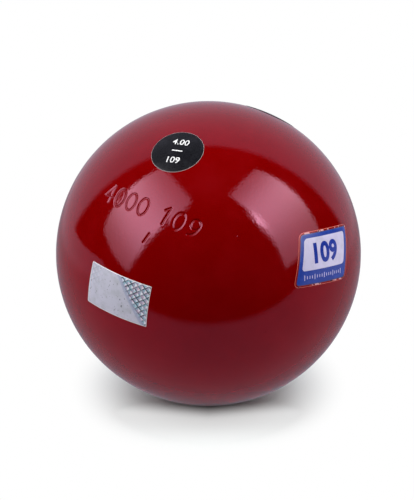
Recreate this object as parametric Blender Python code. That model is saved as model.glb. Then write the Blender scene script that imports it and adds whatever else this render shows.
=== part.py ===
"""Shot put of 4 kg and 109 mm: a cored cast iron ball with its filling, its plug and its labels.

Units are metres, +Z is up. The ball rests on the origin, its labels look towards -Y, and the
mouth of its core, closed by the plug, looks towards +Y, level with the ball's centre.
"""

import math

import bmesh
import bpy
from mathutils import Euler, Matrix

# The ball. Its diameter and its mass are the nominal sizes that are stamped into it.
BALL_DIAMETER = 0.109
BALL_RADIUS = BALL_DIAMETER / 2

# The core cavity, whose size brings the filled ball to 4 kg.
CORE_RADIUS = 0.035

# The mouth that the core was taken out through: a counterbore, a shoulder and a threaded bore.
MOUTH_RADIUS = 0.013
SHOULDER_DEPTH = 0.008
BORE_RADIUS = 0.010
BORE_LEAD_IN = 0.0008

# The plug: a flanged head that is turned with the ball, a thread relief and a shank.
FIT_GAP = 0.0003
HEAD_RADIUS = MOUTH_RADIUS - FIT_GAP
SHANK_RADIUS = BORE_RADIUS - FIT_GAP
PLUG_LENGTH = 0.0185
RELIEF_DEPTH = 0.0008
RELIEF_WIDTH = 0.0015
RELIEF_TAPER = 0.0006
SHANK_CHAMFER = 0.001

# The filling, set in the cavity up to the plug's end, and the trimming slug in its pocket.
FILLING_RADIUS = CORE_RADIUS - FIT_GAP
NECK_RADIUS = BORE_RADIUS - FIT_GAP
POCKET_RADIUS = 0.007
POCKET_DEPTH = 0.009
SLUG_RADIUS = POCKET_RADIUS - FIT_GAP
SLUG_HEIGHT = POCKET_DEPTH - 2 * FIT_GAP
SLUG_CHAMFER = 0.0006

# The labels: a film bent over the ball, on a thin line of adhesive.
LABEL_LIFT = 0.0001
LABEL_THICKNESS = 0.00015
LABEL_FACET = 0.0022
ROUND_LABEL_DIAMETER = 0.019
FOIL_WIDTH = 0.0263
FOIL_HEIGHT = 0.0158
FOIL_CORNER = 0.0003
FILM_WIDTH = 0.0273
FILM_HEIGHT = 0.0193
FILM_CORNER = 0.0022
FILM_SLANT = 0.004

# Places of the labels in degrees: azimuth from the front towards +X, elevation above the level of
# the centre, and roll against the clock, as seen from outside.
ROUND_LABEL_PLACE = (-22.6, 58.4, 0.0)
TOP_LABEL_PLACE = (128.5, 58.7, 0.0)
FOIL_PLACE = (-36.4, -1.3, -10.3)
FILM_PLACE = (50.4, 10.7, -5.8)

# Facets.
BALL_SEGMENTS = 64
CORE_SEGMENTS = 36
PLUG_SEGMENTS = 48
SLUG_SEGMENTS = 32
OUTER_STEPS = 20
CORE_STEPS = 10
HEAD_STEPS = 4
LABEL_CIRCLE_POINTS = 32
CORNER_STEPS = 4
SHARP_ANGLE = math.radians(30)
MERGE_DISTANCE = 0.000001

# Turned profiles are drawn at +X with the turning axis along +Z, and laid over to point along +Y.
MOUTH_TURN = Euler((math.radians(-90), 0, 0))


def clear_scene():
    """Removes every object that the scene starts with."""
    for obj in list(bpy.data.objects):
        bpy.data.objects.remove(obj, do_unlink=True)


def finish(name, colour, roughness, metallic):
    """A Principled finish of one colour."""
    material = bpy.data.materials.new(name)
    material.use_nodes = True
    shader = material.node_tree.nodes["Principled BSDF"]
    shader.inputs["Base Color"].default_value = (*colour, 1.0)
    shader.inputs["Roughness"].default_value = roughness
    shader.inputs["Metallic"].default_value = metallic
    return material


def red_enamel():
    return finish("red_enamel", (0.25, 0.0, 0.005), 0.08, 0.0)


def plug_enamel():
    return finish("plug_enamel", (0.24, 0.0, 0.005), 0.10, 0.0)


def set_filling():
    return finish("set_filling", (0.42, 0.37, 0.29), 0.9, 0.0)


def dull_lead():
    return finish("dull_lead", (0.16, 0.17, 0.18), 0.55, 1.0)


def black_label_film():
    return finish("black_label_film", (0.006, 0.006, 0.008), 0.35, 0.0)


def dark_label_film():
    return finish("dark_label_film", (0.008, 0.008, 0.01), 0.35, 0.0)


def silver_foil():
    return finish("silver_foil", (0.62, 0.62, 0.60), 0.3, 0.8)


def blue_label_film():
    return finish("blue_label_film", (0.02, 0.06, 0.36), 0.2, 0.0)


def height_at(sphere_radius, radius):
    """How high above the centre a sphere stands at a distance from the turning axis."""
    return math.sqrt(sphere_radius**2 - radius**2)


def arc(radius, start, end, steps):
    """Points (radius, height) on a circle about the centre, its angles taken from the axis."""
    angles = [start + (end - start) * step / steps for step in range(steps + 1)]
    return [(radius * math.sin(angle), radius * math.cos(angle)) for angle in angles]


def joined(*runs):
    """One profile from several runs of points, each point that two runs share kept once."""
    profile = []
    for run in runs:
        for point in run:
            if not profile or math.dist(point, profile[-1]) > MERGE_DISTANCE:
                profile.append(point)
    return profile


def on_axis(profile):
    """The profile with its two ends set exactly on the turning axis."""
    first, *middle, last = profile
    return [(0.0, first[1]), *middle, (0.0, last[1])]


def node(name, mesh, material, parent, rotation):
    """A named object at the ball's centre, shaded smooth up to its real edges."""
    mesh.materials.append(material)
    mesh.shade_smooth()
    mesh.set_sharp_from_angle(angle=SHARP_ANGLE)
    obj = bpy.data.objects.new(name, mesh)
    obj.parent = parent
    obj.rotation_euler = rotation
    bpy.context.scene.collection.objects.link(obj)
    return obj


def turned(name, profile, segments, material, parent):
    """A solid turned from a profile that starts and ends on the axis."""
    shape = bmesh.new()
    points = [shape.verts.new((radius, 0.0, height)) for radius, height in on_axis(profile)]
    edges = [shape.edges.new(pair) for pair in zip(points, points[1:])]
    bmesh.ops.spin(
        shape,
        geom=points + edges,
        cent=(0, 0, 0),
        axis=(0, 0, 1),
        angle=math.tau,
        steps=segments,
    )
    bmesh.ops.remove_doubles(shape, verts=shape.verts, dist=MERGE_DISTANCE)
    bmesh.ops.recalc_face_normals(shape, faces=shape.faces)
    mesh = bpy.data.meshes.new(name)
    shape.to_mesh(mesh)
    shape.free()
    return node(name, mesh, material, parent, MOUTH_TURN)


def shell(parent):
    """The cast iron ball: round outside, cored inside, with a stepped mouth for the plug."""
    shoulder = BALL_RADIUS - SHOULDER_DEPTH
    neck_angle = math.asin(BORE_RADIUS / CORE_RADIUS)
    rim_angle = math.asin(MOUTH_RADIUS / BALL_RADIUS)
    cavity = joined(
        arc(CORE_RADIUS, math.pi, math.pi / 2, CORE_STEPS),
        arc(CORE_RADIUS, math.pi / 2, neck_angle, CORE_STEPS - 2),
    )
    mouth = [
        (BORE_RADIUS, shoulder - BORE_LEAD_IN),
        (BORE_RADIUS + BORE_LEAD_IN, shoulder),
        (MOUTH_RADIUS, shoulder),
    ]
    outside = joined(
        arc(BALL_RADIUS, rim_angle, math.pi / 2, OUTER_STEPS - 3),
        arc(BALL_RADIUS, math.pi / 2, math.pi, OUTER_STEPS),
    )
    profile = joined(cavity, mouth, outside)
    return turned("shell", profile, BALL_SEGMENTS, red_enamel(), parent)


def closing_plug(parent):
    """The plug: its head follows the ball's own curve, its shank ends at the filling."""
    underside = BALL_RADIUS - SHOULDER_DEPTH + FIT_GAP
    end = BALL_RADIUS - PLUG_LENGTH
    relief_radius = SHANK_RADIUS - RELIEF_DEPTH
    relief_end = underside - RELIEF_WIDTH
    head = arc(BALL_RADIUS, 0.0, math.asin(HEAD_RADIUS / BALL_RADIUS), HEAD_STEPS)
    shank = [
        (HEAD_RADIUS, underside),
        (relief_radius, underside),
        (relief_radius, relief_end),
        (SHANK_RADIUS, relief_end - RELIEF_TAPER),
        (SHANK_RADIUS, end + SHANK_CHAMFER),
        (SHANK_RADIUS - SHANK_CHAMFER, end),
        (0.0, end),
    ]
    return turned("closing_plug", joined(head, shank), PLUG_SEGMENTS, plug_enamel(), parent)


def core_filling(parent):
    """The set filling: a ball with a short neck in the bore and a pocket for the slug."""
    top = BALL_RADIUS - PLUG_LENGTH - FIT_GAP
    neck_angle = math.asin(NECK_RADIUS / FILLING_RADIUS)
    pocket = [
        (0.0, top - POCKET_DEPTH),
        (POCKET_RADIUS, top - POCKET_DEPTH),
        (POCKET_RADIUS, top),
        (NECK_RADIUS, top),
        (NECK_RADIUS, height_at(FILLING_RADIUS, NECK_RADIUS)),
    ]
    body = joined(
        arc(FILLING_RADIUS, neck_angle, math.pi / 2, CORE_STEPS - 2),
        arc(FILLING_RADIUS, math.pi / 2, math.pi, CORE_STEPS),
    )
    return turned("core_filling", joined(pocket, body), CORE_SEGMENTS, set_filling(), parent)


def trim_weight(parent):
    """The lead slug that trims the mass, in the filling's pocket under the plug."""
    top = BALL_RADIUS - PLUG_LENGTH - 2 * FIT_GAP
    bottom = top - SLUG_HEIGHT
    profile = [
        (0.0, top),
        (SLUG_RADIUS - SLUG_CHAMFER, top),
        (SLUG_RADIUS, top - SLUG_CHAMFER),
        (SLUG_RADIUS, bottom + SLUG_CHAMFER),
        (SLUG_RADIUS - SLUG_CHAMFER, bottom),
        (0.0, bottom),
    ]
    return turned("trim_weight", profile, SLUG_SEGMENTS, dull_lead(), parent)


def circle_outline(diameter):
    """Points of a circle about the origin."""
    angles = [math.tau * step / LABEL_CIRCLE_POINTS for step in range(LABEL_CIRCLE_POINTS)]
    return [(diameter / 2 * math.cos(angle), diameter / 2 * math.sin(angle)) for angle in angles]


def rectangle_outline(width, height, corner):
    """Points of a rectangle with round corners, its sides divided so that they can bend."""
    corners = []
    for index, (side_x, side_y) in enumerate(((1, 1), (-1, 1), (-1, -1), (1, -1))):
        centre_x = side_x * (width / 2 - corner)
        centre_y = side_y * (height / 2 - corner)
        for step in range(CORNER_STEPS + 1):
            angle = math.pi / 2 * (index + step / CORNER_STEPS)
            corners.append((centre_x + corner * math.cos(angle), centre_y + corner * math.sin(angle)))
    outline = []
    for start, end in zip(corners, corners[1:] + corners[:1]):
        pieces = max(1, round(math.dist(start, end) / LABEL_FACET))
        for piece in range(pieces):
            share = piece / pieces
            outline.append(tuple(a + (b - a) * share for a, b in zip(start, end)))
    return outline


def slanted(outline, height, slant):
    """An outline whose top is pushed along by the slant, against its bottom."""
    return [(x + slant * y / height, y) for x, y in outline]


def bent(x, y, radius):
    """A point of a flat sheet laid on a ball, the distance to the sheet's middle kept."""
    distance = math.hypot(x, y)
    if distance == 0:
        return (0.0, 0.0, radius)
    angle = distance / radius
    outward = radius * math.sin(angle) / distance
    return (x * outward, y * outward, radius * math.cos(angle))


def place_on_ball(azimuth, elevation, roll):
    """The turn that brings a sheet, drawn around +Z with its top towards +Y, to its place."""
    turn = (
        Matrix.Rotation(math.radians(azimuth), 3, "Z")
        @ Matrix.Rotation(math.radians(90 - elevation), 3, "X")
        @ Matrix.Rotation(math.radians(roll), 3, "Z")
    )
    return turn.to_euler()


def label(name, outline, place, material, parent):
    """A film label: its outline shrunk in rings to the middle, bent over the ball, given thickness."""
    reach = max(math.hypot(x, y) for x, y in outline)
    rings = max(2, round(reach / LABEL_FACET))
    foot = BALL_RADIUS + LABEL_LIFT
    sheet = bmesh.new()
    loops = []
    for ring in range(rings, 0, -1):
        share = ring / rings
        loops.append([sheet.verts.new(bent(x * share, y * share, foot)) for x, y in outline])
    middle = sheet.verts.new(bent(0.0, 0.0, foot))
    count = len(outline)
    for outer, inner in zip(loops, loops[1:]):
        for index in range(count):
            after = (index + 1) % count
            sheet.faces.new((outer[index], outer[after], inner[after], inner[index]))
    for index in range(count):
        sheet.faces.new((loops[-1][index], loops[-1][(index + 1) % count], middle))
    bmesh.ops.recalc_face_normals(sheet, faces=sheet.faces)
    mesh = bpy.data.meshes.new(name)
    sheet.to_mesh(mesh)
    sheet.free()
    obj = node(name, mesh, material, parent, place_on_ball(*place))
    thickness = obj.modifiers.new("thickness", "SOLIDIFY")
    thickness.thickness = LABEL_THICKNESS
    thickness.offset = 1
    return obj


def round_label(parent):
    outline = circle_outline(ROUND_LABEL_DIAMETER)
    return label("round_label", outline, ROUND_LABEL_PLACE, black_label_film(), parent)


def top_label(parent):
    outline = circle_outline(ROUND_LABEL_DIAMETER)
    return label("top_label", outline, TOP_LABEL_PLACE, dark_label_film(), parent)


def foil_label(parent):
    outline = rectangle_outline(FOIL_WIDTH, FOIL_HEIGHT, FOIL_CORNER)
    return label("foil_label", outline, FOIL_PLACE, silver_foil(), parent)


def film_label(parent):
    rectangle = rectangle_outline(FILM_WIDTH, FILM_HEIGHT, FILM_CORNER)
    outline = slanted(rectangle, FILM_HEIGHT, FILM_SLANT)
    return label("film_label", outline, FILM_PLACE, blue_label_film(), parent)


def ball_centre():
    """The empty that stands at the middle of the ball and carries every piece."""
    empty = bpy.data.objects.new("ball_centre", None)
    empty.location = (0, 0, BALL_RADIUS)
    bpy.context.scene.collection.objects.link(empty)
    return empty


def main():
    clear_scene()
    centre = ball_centre()
    shell(centre)
    core_filling(centre)
    trim_weight(centre)
    closing_plug(centre)
    round_label(centre)
    top_label(centre)
    foil_label(centre)
    film_label(centre)


main()
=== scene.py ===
"""Shot put of 4 kg and 109 mm, dressed: red enamel over turned iron, punched numbers, film labels.

Units are metres and +Z is up. The ball rests on the origin, its labels look towards -Y, and the
mouth of its core, closed by the plug, looks towards +Y.
"""

import logging
import math
from collections.abc import Sequence
from dataclasses import dataclass
from enum import Enum
from typing import Protocol

import bmesh
import bpy
import numpy as np
from mathutils import Matrix, Vector


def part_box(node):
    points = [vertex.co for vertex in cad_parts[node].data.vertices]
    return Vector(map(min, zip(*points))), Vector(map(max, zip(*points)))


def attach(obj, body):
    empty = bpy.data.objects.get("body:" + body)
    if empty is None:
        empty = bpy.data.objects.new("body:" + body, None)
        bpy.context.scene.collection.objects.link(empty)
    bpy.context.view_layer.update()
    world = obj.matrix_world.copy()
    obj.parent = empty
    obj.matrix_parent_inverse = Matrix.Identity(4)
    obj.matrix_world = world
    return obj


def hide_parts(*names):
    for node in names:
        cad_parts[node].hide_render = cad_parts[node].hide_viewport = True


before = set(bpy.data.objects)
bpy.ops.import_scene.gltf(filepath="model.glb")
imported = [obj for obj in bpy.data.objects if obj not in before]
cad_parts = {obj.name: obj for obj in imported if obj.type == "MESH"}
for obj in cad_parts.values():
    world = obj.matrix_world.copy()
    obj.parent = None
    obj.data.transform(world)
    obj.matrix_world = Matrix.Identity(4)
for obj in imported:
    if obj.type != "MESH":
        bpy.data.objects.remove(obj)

LOG = logging.getLogger("shot_put")
BODY = "root"
MILLIMETRE = 0.001
TINY = 1e-12
WHITE = (1.0, 1.0, 1.0)
TURNED_SHARP_ANGLE = math.radians(30)
SHEET_SHARP_ANGLE = math.radians(50)
SHEET_SINK = 0.000005
NOISE_SPREAD = (0.30, 0.70)

Pair = tuple[float, float]
Triple = tuple[float, float, float]
Colour = tuple[float, float, float]
Outline = list[Pair]
Faces = list[tuple[int, ...]]
Shape = tuple[np.ndarray, Faces]
Socket = bpy.types.NodeSocket


@dataclass(frozen=True)
class Ball:
    """The ball that every other piece is laid on or set into."""

    centre: Vector
    radius: float

    @classmethod
    def from_frame(cls) -> "Ball":
        """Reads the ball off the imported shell.

        Returns:
            The ball.
        """
        low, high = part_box("shell")
        radius = (high.z - low.z) / 2
        return cls(Vector(((low.x + high.x) / 2, low.y + radius, low.z + radius)), radius)


@dataclass(frozen=True)
class Place:
    """Where a sheet lies on the ball, in degrees.

    Azimuth runs from the front towards +X, elevation from the level of the centre, and roll
    against the clock, as seen from outside.
    """

    azimuth: float
    elevation: float
    roll: float = 0.0

    def turn(self) -> np.ndarray:
        """Turns a sheet, drawn about +Z with its top towards +Y, to its place.

        Returns:
            The rotation as a matrix.
        """
        return np.array(
            Matrix.Rotation(math.radians(self.azimuth), 3, "Z")
            @ Matrix.Rotation(math.radians(90 - self.elevation), 3, "X")
            @ Matrix.Rotation(math.radians(self.roll), 3, "Z")
        )


def bent(points: np.ndarray, ball_radius: float) -> np.ndarray:
    """Lays points of a flat sheet on a ball about +Z, their distances to the middle kept.

    Args:
        points: Points (x, y) on the sheet and how far each stands off the ball, one to a row.
        ball_radius: The ball's radius.

    Returns:
        Points (x, y, z) about the ball's centre.
    """
    flat, heights = points[:, :2], points[:, 2:]
    angle = np.hypot(flat[:, 0], flat[:, 1]) / ball_radius
    outward = np.sinc(angle / math.pi) / ball_radius
    direction = np.column_stack((flat * outward[:, None], np.cos(angle)))
    return direction * (ball_radius + heights)


def flattened(directions: np.ndarray, turn: np.ndarray, ball_radius: float) -> np.ndarray:
    """The flat points that a sheet at a place would lay on some directions.

    Args:
        directions: Unit vectors from the ball's centre, one to a row.
        turn: The sheet's turn.
        ball_radius: The ball's radius.

    Returns:
        Points (x, y) on the sheet.
    """
    local = directions @ turn
    angle = np.arccos(np.clip(local[:, 2], -1.0, 1.0))
    outward = angle * ball_radius / np.maximum(np.hypot(local[:, 0], local[:, 1]), TINY)
    return local[:, :2] * outward[:, None]


def stations(start: float, end: float, step: float) -> np.ndarray:
    """Even stations from start up to, and without, end, no further apart than step."""
    return np.linspace(start, end, max(1, math.ceil(abs(end - start) / step)), endpoint=False)


def whole_numbers(items: bpy.types.bpy_prop_collection, name: str) -> np.ndarray:
    """Reads a whole number from each item of a mesh.

    Args:
        items: The mesh's loops or polygons.
        name: The number's name.

    Returns:
        The numbers, in the items' order.
    """
    values = np.empty(len(items), np.int32)
    items.foreach_get(name, values)
    return values


def joined(shapes: Sequence[Shape]) -> Shape:
    """Joins shapes into one.

    Args:
        shapes: The points and faces of each.

    Returns:
        The points and faces of all.
    """
    faces: Faces = []
    first = 0
    for points, own in shapes:
        faces += [tuple(corner + first for corner in face) for face in own]
        first += len(points)
    return np.concatenate([points for points, _ in shapes]), faces


def smooth_mesh(name: str, shape: Shape, sharp_angle: float | None = None) -> bpy.types.Mesh:
    """Makes a smoothly shaded mesh.

    Args:
        name: Its name.
        shape: Its points (x, y, z) and its faces.
        sharp_angle: The angle between two faces from which on their edge stays sharp, if any.

    Returns:
        The mesh.
    """
    points, faces = shape
    mesh = bpy.data.meshes.new(name)
    mesh.from_pydata(points.tolist(), [], faces)
    mesh.shade_smooth()
    if sharp_angle is not None:
        mesh.set_sharp_from_angle(angle=sharp_angle)
    return mesh


def put(name: str, data: bpy.types.ID) -> bpy.types.Object:
    """Puts a mesh, a light or the like into the scene.

    Args:
        name: The new object's name.
        data: What it shows.

    Returns:
        The object.
    """
    item = bpy.data.objects.new(name, data)
    bpy.context.scene.collection.objects.link(item)
    return item


class Finish(Protocol):
    """Anything that makes a material."""

    def material(self) -> bpy.types.Material:
        """Makes the material."""


def add_piece(
    name: str, mesh: bpy.types.Mesh, finishes: Sequence[Finish], replaces: str | None = None
) -> bpy.types.Object:
    """Puts a finished mesh into the scene as a piece that rides on the ball's body.

    Args:
        name: The piece's name.
        mesh: Its mesh, in place.
        finishes: Its finishes, in the order of its faces' material numbers.
        replaces: The node that it stands for, if any.

    Returns:
        The piece.
    """
    for finish in finishes:
        mesh.materials.append(finish.material())
    piece = put(name, mesh)
    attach(piece, BODY)
    if replaces:
        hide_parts(replaces)
    LOG.info("%s: %d faces", name, len(mesh.polygons))
    return piece


class NodeTree:
    """A node tree, with short calls to add, set and link its nodes."""

    def __init__(self, tree: bpy.types.NodeTree) -> None:
        """Takes up a tree."""
        self.tree = tree

    def add(
        self, kind: str, values: dict[str, object] | None = None, **settings: object
    ) -> bpy.types.Node:
        """Adds a node.

        Args:
            kind: The node's type.
            values: Values for its unlinked sockets.
            **settings: The node's own properties.

        Returns:
            The new node.
        """
        node = self.tree.nodes.new(kind)
        for name, value in settings.items():
            setattr(node, name, value)
        for socket, value in (values or {}).items():
            node.inputs[socket].default_value = value
        return node

    def link(self, source: Socket, target: Socket) -> None:
        """Links two sockets."""
        self.tree.links.new(source, target)

    def split(self, vector: Socket) -> tuple[Socket, Socket, Socket]:
        """Splits a vector.

        Args:
            vector: The vector.

        Returns:
            Its x, y and z.
        """
        node = self.add("ShaderNodeSeparateXYZ")
        self.link(vector, node.inputs["Vector"])
        return node.outputs["X"], node.outputs["Y"], node.outputs["Z"]

    def ramp(
        self, factor: Socket, low: float, high: float, start: float = 0.0, end: float = 1.0
    ) -> Socket:
        """Maps a value smoothly from one range to another, held at the ends.

        Args:
            factor: The value.
            low: The value that gives start.
            high: The value that gives end.
            start: The result at low.
            end: The result at high.

        Returns:
            The result.
        """
        values = {"From Min": low, "From Max": high, "To Min": start, "To Max": end}
        node = self.add("ShaderNodeMapRange", values, interpolation_type="SMOOTHSTEP")
        self.link(factor, node.inputs["Value"])
        return node.outputs["Result"]

    def math(self, operation: str, *operands: float | Socket) -> Socket:
        """A sum, product or other function of numbers and sockets.

        Args:
            operation: The Math node's operation.
            *operands: Numbers and sockets, in order.

        Returns:
            The result.
        """
        node = self.add("ShaderNodeMath", operation=operation)
        for socket, operand in zip(node.inputs, operands):
            if isinstance(operand, (int, float)):
                socket.default_value = operand
            else:
                self.link(operand, socket)
        return node.outputs[0]

    def mix(self, factor: Socket, first: Colour | Socket, second: Colour | Socket) -> Socket:
        """Mixes two colours.

        Args:
            factor: How much of the second colour shows.
            first: A colour or a colour socket.
            second: A colour or a colour socket.

        Returns:
            The mixed colour.
        """
        node = self.add("ShaderNodeMix", data_type="RGBA")
        self.link(factor, node.inputs["Factor"])
        for socket, colour in ((node.inputs["A"], first), (node.inputs["B"], second)):
            if isinstance(colour, bpy.types.NodeSocket):
                self.link(colour, socket)
            else:
                socket.default_value = (*colour, 1.0)
        return node.outputs["Result"]


@dataclass(frozen=True)
class Noise:
    """A cloudy pattern: its cells for each metre, its octaves and how much the fine ones count."""

    scale: float
    detail: float
    roughness: float = 0.5


class Recipe(NodeTree):
    """The node tree of one material."""

    def __init__(self, name: str) -> None:
        """Starts a material.

        Args:
            name: The material's name.
        """
        self.material = bpy.data.materials.new(name)
        self.material.use_nodes = True
        super().__init__(self.material.node_tree)
        self.shader = self.tree.nodes["Principled BSDF"]
        self.output = self.tree.nodes["Material Output"]

    def surface(self, **values: object) -> None:
        """Sets the shader's own sockets, named with underscores for spaces."""
        for name, value in values.items():
            self.shader.inputs[name.replace("_", " ")].default_value = value

    def place(self) -> Socket:
        """The surface's place in the piece's own space, in metres."""
        return self.add("ShaderNodeTexCoord").outputs["Object"]

    def flat(self) -> tuple[Socket, Socket]:
        """The place (x, y) on the flat sheet that a label was cut from, in millimetres."""
        return self.split(self.add("ShaderNodeUVMap", uv_map="flat").outputs["UV"])[:2]

    def noise(self, noise: Noise) -> Socket:
        """Lays a noise over the piece.

        Args:
            noise: The noise.

        Returns:
            Its value.
        """
        values = {"Scale": noise.scale, "Detail": noise.detail, "Roughness": noise.roughness}
        texture = self.add("ShaderNodeTexNoise", values)
        self.link(self.place(), texture.inputs["Vector"])
        return texture.outputs["Fac"]

    def bump(self, *layers: tuple[Socket, float]) -> None:
        """Lays bumps over each other and links them to the shader.

        Args:
            *layers: Pairs of a height from 0 to 1 and the real height in metres.
        """
        normal = None
        for height, distance in layers:
            node = self.add("ShaderNodeBump", {"Strength": 1.0, "Distance": distance})
            self.link(height, node.inputs["Height"])
            if normal is not None:
                self.link(normal, node.inputs["Normal"])
            normal = node.outputs["Normal"]
        self.link(normal, self.shader.inputs["Normal"])

    def colour(self, factor: Socket, first: Colour | Socket, second: Colour | Socket) -> None:
        """Gives the shader a mix of two colours."""
        self.link(self.mix(factor, first, second), self.shader.inputs["Base Color"])

    def roughness(self, factor: Socket, results: Pair, limits: Pair = NOISE_SPREAD) -> None:
        """Gives the shader a roughness that runs from one result to the other between the limits."""
        self.link(self.ramp(factor, *limits, *results), self.shader.inputs["Roughness"])

    def inside_box(self, width: float, height: float, corner: float, slant: float = 0.0) -> Socket:
        """How deep a point of a flat sheet lies inside a rectangle with round corners.

        Args:
            width: The rectangle's width in millimetres.
            height: The rectangle's height in millimetres.
            corner: Its corners' radius in millimetres.
            slant: How far its top is pushed along, against its bottom, in millimetres.

        Returns:
            The depth in millimetres, below 0 outside.
        """
        over = []
        x, y = self.flat()
        upright = self.math("SUBTRACT", x, self.math("MULTIPLY", y, slant / height))
        for place, side in zip((upright, y), (width, height)):
            over.append(self.math("SUBTRACT", self.math("ABSOLUTE", place), side / 2 - corner))
        squares = [self.math("POWER", self.math("MAXIMUM", side, 0.0), 2.0) for side in over]
        beyond = self.math("SQRT", self.math("ADD", *squares))
        within = self.math("MINIMUM", self.math("MAXIMUM", *over), 0.0)
        return self.math("SUBTRACT", corner, self.math("ADD", beyond, within))


@dataclass(frozen=True)
class Enamel:
    """Glossy sprayed enamel, with a light orange peel."""

    name: str = "red_enamel"
    colour: Colour = (0.163, 0.0, 0.0)
    thin_colour: Colour = (0.178, 0.0004, 0.001)
    sheen_tint: Colour = (1.0, 0.46, 0.68)
    ior: float = 1.6
    roughness: Pair = (0.035, 0.075)
    mottle: Noise = Noise(90.0, 4.0, 0.6)
    thin_range: Pair = (0.35, 0.70)
    haze_range: Pair = (0.30, 0.75)
    wave: Noise = Noise(130.0, 1.0)
    wave_height: float = 0.00003
    peel: Noise = Noise(1150.0, 2.0, 0.4)
    peel_height: float = 0.000022

    def material(self) -> bpy.types.Material:
        """Mixes the enamel.

        Returns:
            Its material.
        """
        recipe = Recipe(self.name)
        recipe.surface(IOR=self.ior, Specular_Tint=(*self.sheen_tint, 1.0))
        mottle = recipe.noise(self.mottle)
        recipe.colour(recipe.ramp(mottle, *self.thin_range), self.colour, self.thin_colour)
        recipe.roughness(mottle, self.roughness, self.haze_range)
        wave = recipe.noise(self.wave)
        recipe.bump((wave, self.wave_height), (recipe.noise(self.peel), self.peel_height))
        return recipe.material


@dataclass(frozen=True)
class BareMetal:
    """Turned or cast metal that the paint doesn't reach."""

    name: str
    colour: Colour
    stain: Colour
    roughness: float
    metallic: float
    grain_scale: float
    grain_height: float
    turning_pitch: float = 0.0
    grain_octaves: Pair = (5.0, 0.65)
    grains_to_cloud: float = 8.0
    cloud_octaves: Pair = (4.0, 0.60)
    stain_range: Pair = (0.40, 0.66)
    roughness_spread: Pair = (-0.08, 0.10)

    def material(self) -> bpy.types.Material:
        """Mixes the metal, with turning marks where a pitch is given.

        Returns:
            Its material.
        """
        recipe = Recipe(self.name)
        recipe.surface(Metallic=self.metallic)
        cloud = recipe.noise(Noise(self.grain_scale / self.grains_to_cloud, *self.cloud_octaves))
        grain = recipe.noise(Noise(self.grain_scale, *self.grain_octaves))
        recipe.colour(recipe.ramp(cloud, *self.stain_range), self.colour, self.stain)
        smooth, rough = self.roughness_spread
        recipe.roughness(grain, (self.roughness + smooth, self.roughness + rough))
        layers = [(grain, self.grain_height)]
        if self.turning_pitch:
            _, along, _ = recipe.split(recipe.place())
            phase = recipe.math("MULTIPLY", along, math.tau / self.turning_pitch)
            layers.append((recipe.math("SINE", phase), self.grain_height))
        recipe.bump(*layers)
        return recipe.material


@dataclass(frozen=True)
class SetFilling:
    """Sand and resin, poured and set: pale grains in a tan binder."""

    name: str = "set_filling"
    binder: Colour = (0.34, 0.27, 0.18)
    grain: Colour = (0.58, 0.54, 0.45)
    ior: float = 1.5
    roughness: Pair = (0.95, 0.70)
    grain_scale: float = 1500.0
    grain_reach: Pair = (0.25, 0.60)
    grain_height: float = 0.000125
    shade: Noise = Noise(500.0, 3.0)
    shade_range: Pair = (0.35, 0.65)
    shade_height: float = 0.00025

    def material(self) -> bpy.types.Material:
        """Mixes the filling.

        Returns:
            Its material.
        """
        recipe = Recipe(self.name)
        recipe.surface(IOR=self.ior)
        cells = recipe.add("ShaderNodeTexVoronoi", {"Scale": self.grain_scale})
        recipe.link(recipe.place(), cells.inputs["Vector"])
        inside = recipe.ramp(cells.outputs["Distance"], *self.grain_reach, 1.0, 0.0)
        shade = recipe.noise(self.shade)
        sand = recipe.mix(recipe.ramp(shade, *self.shade_range), self.grain, self.binder)
        recipe.colour(inside, self.binder, sand)
        recipe.roughness(inside, self.roughness, (0.0, 1.0))
        recipe.bump((shade, self.shade_height), (inside, self.grain_height))
        return recipe.material


@dataclass(frozen=True)
class Film:
    """Printed label film: one colour, faint handling marks, a satin or glossy face."""

    name: str
    colour: Colour
    worn: Colour
    roughness: float
    sheen: float = 0.5
    ior: float = 1.5
    roughness_spread: Pair = (-0.05, 0.06)
    cloud: Noise = Noise(260.0, 4.0, 0.6)
    worn_range: Pair = (0.42, 0.75)
    cloud_height: float = 0.000006
    fine: Noise = Noise(2600.0, 3.0)
    fine_height: float = 0.000003

    def material(self) -> bpy.types.Material:
        """Mixes the film.

        Returns:
            Its material.
        """
        recipe = Recipe(self.name)
        recipe.surface(IOR=self.ior, Specular_IOR_Level=self.sheen)
        cloud = recipe.noise(self.cloud)
        fine = recipe.noise(self.fine)
        recipe.colour(recipe.ramp(cloud, *self.worn_range), self.colour, self.worn)
        smooth, rough = self.roughness_spread
        recipe.roughness(fine, (self.roughness + smooth, self.roughness + rough))
        recipe.bump((cloud, self.cloud_height), (fine, self.fine_height))
        return recipe.material


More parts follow.
